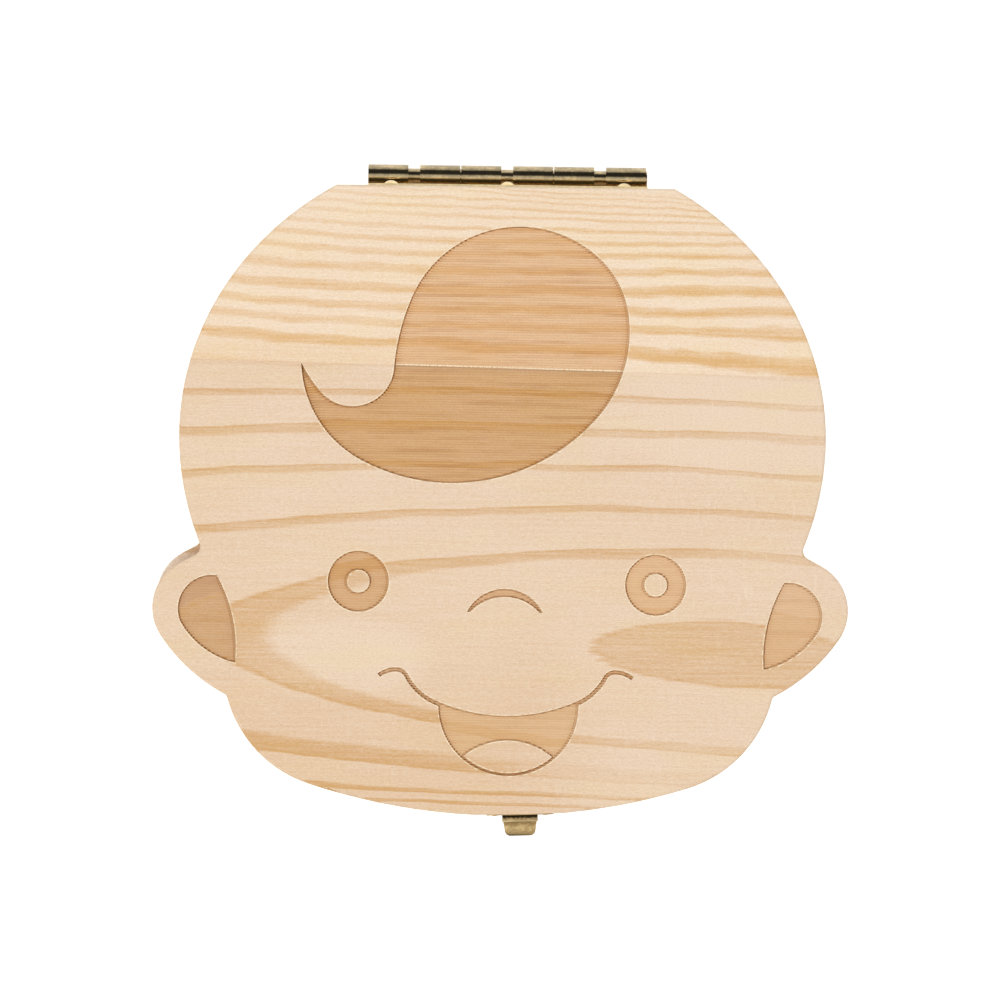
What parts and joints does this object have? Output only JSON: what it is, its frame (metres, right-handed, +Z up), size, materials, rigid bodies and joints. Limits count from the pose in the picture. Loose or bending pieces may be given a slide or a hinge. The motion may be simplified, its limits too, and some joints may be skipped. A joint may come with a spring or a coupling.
{
  "type": "baby tooth box",
  "caption": "Flat wooden keepsake box sawn as a smiling baby's head, engraved lid on a brass hinge, front clasp, tooth pockets and compartments inside.",
  "frame": {"origin": "on the table, under the middle of the closed box", "axes": "+Z up out of the lid, +X to the right of the face as seen from above, +Y from the clasp to the hinge"},
  "size_m": [0.1222, 0.1193, 0.03],
  "materials": {
    "lid_wood": "bare sanded pine with laser engraving",
    "base_wood": "bare sanded pine",
    "aged_brass": "aged, polished at the edges"
  },
  "bodies": {
    "base": {"base_block": "base_wood", "hinge_base_leaf": "aged_brass", "hinge_pin": "aged_brass", "hinge_base_nails": "aged_brass", "clasp_catch_plate": "aged_brass", "clasp_catch_nails": "aged_brass"},
    "lid": {"lid_crown_board": "lid_wood", "lid_face_board": "lid_wood", "hinge_lid_leaf": "aged_brass", "hinge_lid_nails": "aged_brass", "clasp_top_plate": "aged_brass", "clasp_pin": "aged_brass", "clasp_top_nails": "aged_brass"},
    "hasp": {"clasp_hasp": "aged_brass"}
  },
  "joints": [
    {"name": "lid_hinge", "type": "hinge", "parent": "base", "child": "lid", "pos_m": [0, 0.05735, 0.01505], "axis": [-1, 0, 0], "range_deg": [0, 180]},
    {"name": "hasp_swing", "type": "hinge", "parent": "lid", "child": "hasp", "pos_m": [0.00403, -0.05598, 0.01805], "axis": [-0.9993, -0.0364, 0], "range_deg": [0, 150]}
  ]
}
